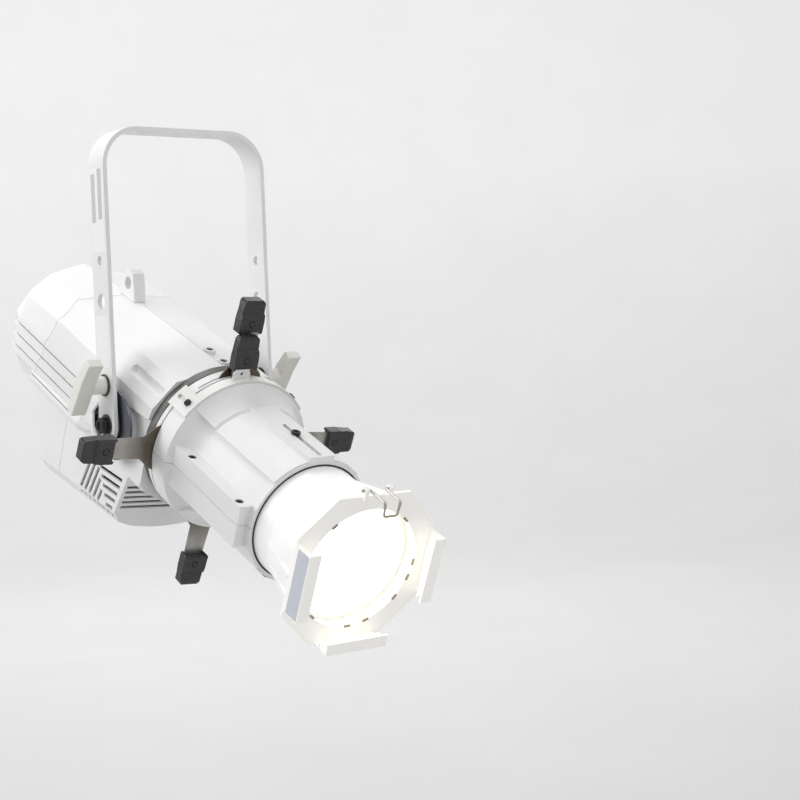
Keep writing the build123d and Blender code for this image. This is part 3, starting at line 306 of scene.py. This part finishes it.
# bevel widths in millimetres, where they differ from the usual one
BEVELS = {
    "yoke": 0.8,
    "housing_left_shell": 1.4,
    "housing_right_shell": 1.4,
    "front_lens": 0.0,
    "rear_lens": 0.0,
    "condenser_lens": 0.0,
    "gel_clip": 0.0,
}
SMOOTH_GROUP = sharp_edge_group(SMOOTH_ANGLE)
for name, obj in NODES.items():
    weld = obj.modifiers.new("weld", "WELD")
    weld.merge_threshold = WELD_GAP
    flat = obj.modifiers.new("flat faces", "DECIMATE")
    flat.decimate_type = "DISSOLVE"
    flat.angle_limit = FLAT_ANGLE
    width = BEVELS.get(name, USUAL_BEVEL)
    if width:
        bevel = obj.modifiers.new("bevel", "BEVEL")
        bevel.width = width * MM
        bevel.segments = 2
        bevel.limit_method = "ANGLE"
        bevel.angle_limit = BEVEL_ANGLE
        bevel.use_clamp_overlap = True
    shading = obj.modifiers.new("shading", "NODES")
    shading.node_group = SMOOTH_GROUP
    shade_smooth(obj.data)
    smooth = obj.modifiers.new("normals", "WEIGHTED_NORMAL")
    smooth.keep_sharp = True
    smooth.weight = 60


# ---------------------------------------------------------------- small trim, built in mesh code
def keep_piece(name, work, material, body):
    """Turn a bmesh into a piece that rides on a body of the lamp."""
    mesh = bpy.data.meshes.new(name)
    bmesh.ops.recalc_face_normals(work, faces=work.faces)
    work.to_mesh(mesh)
    work.free()
    shade_smooth(mesh)
    piece = bpy.data.objects.new(name, mesh)
    bpy.context.scene.collection.objects.link(piece)
    mesh.materials.append(MATERIALS[material])
    smooth = piece.modifiers.new("normals", "WEIGHTED_NORMAL")
    smooth.keep_sharp = True
    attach(piece, body)


def bridge(work, first, second):
    """Join two rings of points with a band of four-sided faces."""
    for index in range(len(first)):
        after = (index + 1) % len(first)
        work.faces.new((first[index], first[after], second[after], second[index]))


def rounded_outline(width, height, corner, steps=6):
    """Corner-rounded rectangle about the origin, as (u, v) points."""
    points = []
    for turn, (u, v) in enumerate(((1, 1), (-1, 1), (-1, -1), (1, -1))):
        middle = (u * (width / 2 - corner), v * (height / 2 - corner))
        for step in range(steps + 1):
            angle = radians(90 * turn + 90 * step / steps)
            points.append((middle[0] + corner * cos(angle), middle[1] + corner * sin(angle)))
    return points


def add_plate(work, centre, u_axis, v_axis, width, height, corner, thick):
    """Thin rounded plate with a turned-down rim, standing thick along u x v on its centre."""
    normal = u_axis.cross(v_axis).normalized()
    rim = 0.35 * thick
    levels = ((0.0, 0.0), (0.0, thick - rim), (rim, thick))
    rows = []
    for shrink, height_off in levels:
        outline = rounded_outline(width - 2 * shrink, height - 2 * shrink, corner - 0.5 * shrink)
        flat = [centre + (u_axis * u + v_axis * v + normal * height_off) * MM for u, v in outline]
        rows.append([work.verts.new(point) for point in flat])
    for first, second in zip(rows, rows[1:]):
        bridge(work, first, second)
    work.faces.new(rows[-1])
    work.faces.new(list(reversed(rows[0])))


def add_turned(work, profile, start, sweep, steps):
    """Sweep closed (radius, ahead) points about the optical axis, in degrees from the top."""
    rows = []
    closed = abs(sweep) >= 360
    for step in range(steps if closed else steps + 1):
        angle = radians(start + sweep * step / steps)
        around = [lamp_point(r * sin(angle), r * cos(angle), d) for r, d in profile]
        rows.append([work.verts.new(point) for point in around])
    pairs = list(zip(rows, rows[1:]))
    if closed:
        pairs.append((rows[-1], rows[0]))
    for first, second in pairs:
        bridge(work, first, second)
    if not closed:
        work.faces.new(rows[0])
        work.faces.new(list(reversed(rows[-1])))


def add_button(work, centre, profile, steps=24):
    """Turned button standing on the front of a handle; profile holds (radius, height) points."""
    rows = []
    for radius, height in profile:
        rim = []
        for step in range(steps):
            angle = radians(360 * step / steps)
            offset = RIGHT * (radius * cos(angle)) + UP * (radius * sin(angle)) + FORWARD * height
            rim.append(work.verts.new(centre + offset * MM))
        rows.append(rim)
    for first, second in zip(rows, rows[1:]):
        bridge(work, first, second)
    work.faces.new(rows[-1])
    work.faces.new(list(reversed(rows[0])))


def make_rivet_heads():
    """Round rivet head on each black handle: body, angle from the top, reach and face ahead."""
    handles = (
        ("shutter_top", 1.0, SHUTTER_REACH, SHUTTER_FACE),
        ("shutter_right", 92.0, SHUTTER_REACH, SHUTTER_FACE),
        ("shutter_bottom", 184.5, SHUTTER_REACH, SHUTTER_FACE),
        ("shutter_left", -87.5, SHUTTER_REACH, SHUTTER_FACE),
        ("iris", -1.5, IRIS_REACH, IRIS_FACE),
    )
    profile = ((3.5, -0.3), (3.5, 0.25), (3.1, 0.6), (2.3, 0.8), (1.6, 0.75), (1.3, 0.3))
    for body, angle, reach, face in handles:
        work = bmesh.new()
        turn = radians(angle)
        add_button(work, lamp_point(reach * sin(turn), reach * cos(turn), face), profile)
        keep_piece("rivet_head_" + body, work, "rivet_black", body)


def make_arm_labels():
    """Blank stickers on the outer face of the left yoke arm."""
    across = Vector((0.0, -1.0, 0.0))
    up = Vector((0.0, 0.0, 1.0))
    width, panel_width = 33.0, 9.5
    thick, panel_thick = 0.18, 0.06
    work = bmesh.new()
    for rise, height in ((248.0, 96.0), (97.0, 60.0)):
        centre = PIVOT + Vector((-ARM_OUTER, 0.0, rise * MM))
        add_plate(work, centre, across, up, width, height, 2.0, thick)
    keep_piece("arm_labels", work, "label_white", "yoke")
    work = bmesh.new()
    for offset, rise, height in ((8.5, 262.0, 56.0), (-7.5, 266.0, 58.0)):
        centre = PIVOT + Vector((-ARM_OUTER - thick * MM, offset * MM, rise * MM))
        add_plate(work, centre, across, up, panel_width, height, 1.0, panel_thick)
    keep_piece("arm_label_panels", work, "label_grey", "yoke")


def make_holder_sticker():
    """Blank blue-grey sticker on the left channel of the frame holder."""
    work = bmesh.new()
    add_plate(work, lamp_point(-85.0, -0.5, 385.5), FORWARD, UP, 20.0, 73.0, 1.5, 0.2)
    keep_piece("holder_sticker", work, "sticker_blue", "lens_tube")


def make_barrel_joint_shade():
    """Dark ring in the joint where the lens tube leaves the barrel, a sheet of painted shade for
    that joint.
    """
    work = bmesh.new()
    inner, outer = 67.5, 69.3
    back, front = 270.6, 271.75
    chamfer = 0.4
    profile = [(inner, back), (outer, back), (outer, front - chamfer)]
    profile += [(outer - chamfer, front), (inner + chamfer, front), (inner, front - chamfer)]
    add_turned(work, profile, 0.0, 360.0, 96)
    keep_piece("barrel_joint_shade_ring", work, "joint_shade_black", "barrel")


def make_lens_clips():
    """Small bronze clips that hold the front lens, round the mouth of the frame holder."""
    work = bmesh.new()
    inner, outer = 68.0, 70.6
    back, front = 371.0, 372.9
    leg, foot = 0.9, 0.7
    profile = [(inner, back), (inner + leg, back), (inner + leg, front - foot)]
    profile += [(outer, front - foot), (outer, front), (inner, front)]
    sweep = 6.0
    for start in (38.0, 88.0, 103.0, 124.0, 157.0, 176.0, 220.0, 318.0):
        add_turned(work, profile, start, sweep, 6)
    keep_piece("lens_clips", work, "clip_bronze", "lens_tube")


make_rivet_heads()
make_arm_labels()
make_holder_sticker()
make_barrel_joint_shade()
make_lens_clips()

# ---------------------------------------------------------------- camera
VIEW_AZIMUTH = radians(-36.9)
VIEW_ELEVATION = radians(2.25)
VIEW_ROLL = radians(-2.15)
VIEW_DISTANCE = 1.915   # from the pivot, in metres
VIEW_RIGHT = 0.2527     # the camera stands this far beside and above the line to the pivot
VIEW_UP = 0.0236

outward = Vector((sin(VIEW_AZIMUTH), -cos(VIEW_AZIMUTH), 0.0))
back = outward * cos(VIEW_ELEVATION) + Vector((0.0, 0.0, sin(VIEW_ELEVATION)))
level = Vector((cos(VIEW_AZIMUTH), sin(VIEW_AZIMUTH), 0.0))
upright = back.cross(level)
right = level * cos(VIEW_ROLL) + upright * sin(VIEW_ROLL)
top = upright * cos(VIEW_ROLL) - level * sin(VIEW_ROLL)
camera_data = bpy.data.cameras.new("camera")
camera_data.lens = 72.0
camera_data.sensor_width = 36.0
camera_data.clip_end = 50.0
camera = bpy.data.objects.new("camera", camera_data)
bpy.context.scene.collection.objects.link(camera)
spot = PIVOT + back * VIEW_DISTANCE + right * VIEW_RIGHT + top * VIEW_UP
camera.matrix_world = Matrix.Translation(spot) @ Matrix((right, top, back)).transposed().to_4x4()
bpy.context.scene.camera = camera


# ---------------------------------------------------------------- floor and light
FLOOR_Z = -1.35
FLOOR_RADIUS = 6.0
BEND = 3.0              # radius of the curve from floor to wall
WALL_HEIGHT = 14.0
FLOOR_GLOW = 0.17
WALL_GLOW = 0.28
SKY_GLOW = 0.13


def make_floor():
    """Round studio floor that curves up into a pale wall on all sides."""
    mesh = bpy.data.meshes.new("floor")
    work = bmesh.new()
    profile = [(FLOOR_RADIUS, 0.0)]
    for bend in range(10, 91, 10):
        sweep = radians(bend)
        profile.append((FLOOR_RADIUS + BEND * sin(sweep), BEND - BEND * cos(sweep)))
    profile.append((FLOOR_RADIUS + BEND, WALL_HEIGHT))
    steps = 96
    turns = [radians(360 * step / steps) for step in range(steps)]
    rows = []
    for r, z in profile:
        rows.append([work.verts.new((r * cos(turn), r * sin(turn), FLOOR_Z + z)) for turn in turns])
    work.faces.new(rows[0])
    for first, second in zip(rows, rows[1:]):
        bridge(work, first, second)
    bmesh.ops.recalc_face_normals(work, faces=work.faces)
    bmesh.ops.reverse_faces(work, faces=work.faces)
    work.to_mesh(mesh)
    work.free()
    shade_smooth(mesh)
    floor = bpy.data.objects.new("floor", mesh)
    bpy.context.scene.collection.objects.link(floor)
    shader = Shader("floor_paper", (0.55, 0.55, 0.55), 0.9)
    clouds = shader.remap(shader.noise(2.0, 2.0), 0, 1)
    shader.color(shader.blend(clouds, (0.54, 0.54, 0.54), (0.56, 0.56, 0.56)))
    # the wall glows a little more than the floor, like a lit paper roll
    split = shader.nodes.new("ShaderNodeSeparateXYZ")
    shader.links.new(shader.coords.outputs["Object"], split.inputs["Vector"])
    glow = shader.remap(split.outputs["Z"], FLOOR_GLOW, WALL_GLOW, FLOOR_Z, 0.9)
    shader.bsdf.inputs["Emission Color"].default_value = (1.0, 1.0, 1.0, 1.0)
    shader.links.new(glow, shader.bsdf.inputs["Emission Strength"])
    mesh.materials.append(shader.mat)


def soft_light(name, place, target, size, power):
    """Rectangular soft box that points at the target."""
    light = bpy.data.lights.new(name, "AREA")
    light.shape = "RECTANGLE"
    light.size, light.size_y = size
    light.energy = power
    obj = bpy.data.objects.new(name, light)
    bpy.context.scene.collection.objects.link(obj)
    obj.location = place
    obj.rotation_euler = (Vector(place) - Vector(target)).to_track_quat("Z", "Y").to_euler()


LAMP_MIDDLE = (0.0, -0.05, -0.38)
LENS_TUBE = (0.0, -0.40, -0.50)
WALL_BEHIND = (4.2, 6.6, 0.0)
# name, place, what it points at, size and power in watts
LIGHTS = (
    ("rear_left_light", (-1.57, 1.05, 0.72), LAMP_MIDDLE, (1.2, 1.2), 19.0),
    ("top_light", (0.0, 0.60, 1.70), LAMP_MIDDLE, (1.1, 1.1), 19.0),
    ("front_top_light", (0.2, -1.50, 1.27), LAMP_MIDDLE, (1.1, 1.1), 8.0),
    ("front_light", (0.63, -2.15, 0.10), LAMP_MIDDLE, (1.3, 1.3), 1.5),
    ("tube_light", (-1.20, -1.30, 1.30), LENS_TUBE, (0.8, 0.8), 3.0),
    ("left_light", (-2.00, 0.35, 0.70), LAMP_MIDDLE, (1.2, 1.2), 5.0),
    ("side_light", (1.60, 1.02, 0.69), LAMP_MIDDLE, (1.3, 1.3), 3.0),
    ("backdrop_light", (1.0, 3.0, 3.0), WALL_BEHIND, (6.0, 2.0), 240.0),
)

make_floor()
for name, place, target, size, power in LIGHTS:
    soft_light(name, place, target, size, power)

world = bpy.data.worlds.new("studio")
bpy.context.scene.world = world
world.use_nodes = True
sky = world.node_tree.nodes["Background"].inputs
sky["Color"].default_value = (1.0, 1.0, 1.0, 1.0)
sky["Strength"].default_value = SKY_GLOW
bpy.context.scene.view_settings.view_transform = "Standard"
